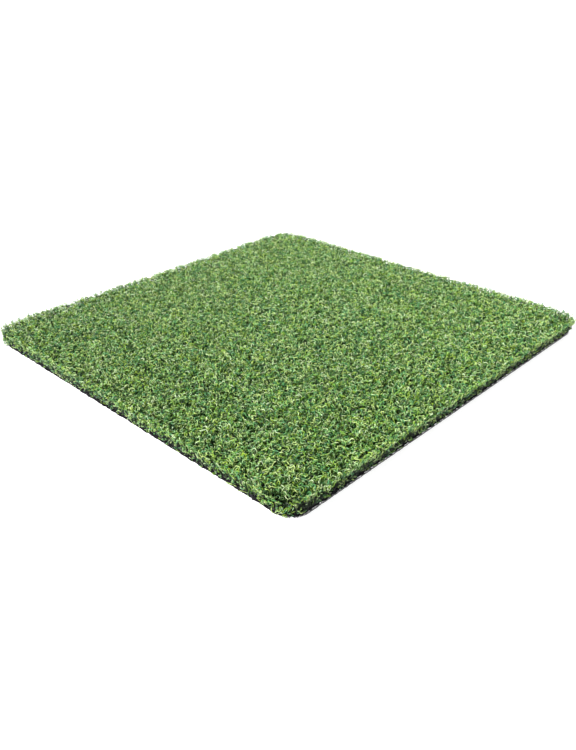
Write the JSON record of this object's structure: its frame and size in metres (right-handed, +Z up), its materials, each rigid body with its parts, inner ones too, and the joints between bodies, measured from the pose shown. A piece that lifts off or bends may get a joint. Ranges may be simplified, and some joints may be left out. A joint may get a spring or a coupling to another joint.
{
  "type": "golf hitting mat",
  "caption": "Square of dense green tufted turf on a thin black bonded backing with rounded corners, laid on the ground for hitting golf balls from.",
  "frame": {"origin": "centre of the underside, on the ground that the mat lies on", "axes": "+Z up through the pile; X and Y along the sides; the tuft rows run along Y"},
  "size_m": [0.3078, 0.3078, 0.0132],
  "materials": {
    "secondary_backing": "dull grey fibrous cloth",
    "latex_coat": "matt black, slightly uneven at the cut edge",
    "primary_backing": "matt black woven tape",
    "pile_yarn": "curly filaments with a soft sheen, in mixed greens"
  },
  "bodies": {
    "root": {"secondary_backing": "secondary_backing", "latex_coat": "latex_coat", "primary_backing": "primary_backing", "tuft_row_01": "pile_yarn", "tuft_row_02": "pile_yarn", "tuft_row_03": "pile_yarn", "tuft_row_04": "pile_yarn", "tuft_row_05": "pile_yarn", "tuft_row_06": "pile_yarn", "tuft_row_07": "pile_yarn", "tuft_row_08": "pile_yarn", "tuft_row_09": "pile_yarn", "tuft_row_10": "pile_yarn", "tuft_row_11": "pile_yarn", "tuft_row_12": "pile_yarn", "tuft_row_13": "pile_yarn", "tuft_row_14": "pile_yarn", "tuft_row_15": "pile_yarn", "tuft_row_16": "pile_yarn", "tuft_row_17": "pile_yarn", "tuft_row_18": "pile_yarn", "tuft_row_19": "pile_yarn", "tuft_row_20": "pile_yarn", "tuft_row_21": "pile_yarn", "tuft_row_22": "pile_yarn", "tuft_row_23": "pile_yarn", "tuft_row_24": "pile_yarn", "tuft_row_25": "pile_yarn", "tuft_row_26": "pile_yarn", "tuft_row_27": "pile_yarn", "tuft_row_28": "pile_yarn", "tuft_row_29": "pile_yarn", "tuft_row_30": "pile_yarn", "tuft_row_31": "pile_yarn", "tuft_row_32": "pile_yarn", "tuft_row_33": "pile_yarn", "tuft_row_34": "pile_yarn", "tuft_row_35": "pile_yarn", "tuft_row_36": "pile_yarn", "tuft_row_37": "pile_yarn", "tuft_row_38": "pile_yarn", "tuft_row_39": "pile_yarn", "tuft_row_40": "pile_yarn", "tuft_row_41": "pile_yarn", "tuft_row_42": "pile_yarn", "tuft_row_43": "pile_yarn", "tuft_row_44": "pile_yarn", "tuft_row_45": "pile_yarn", "tuft_row_46": "pile_yarn", "tuft_row_47": "pile_yarn", "tuft_row_48": "pile_yarn"}
  },
  "joints": []
}
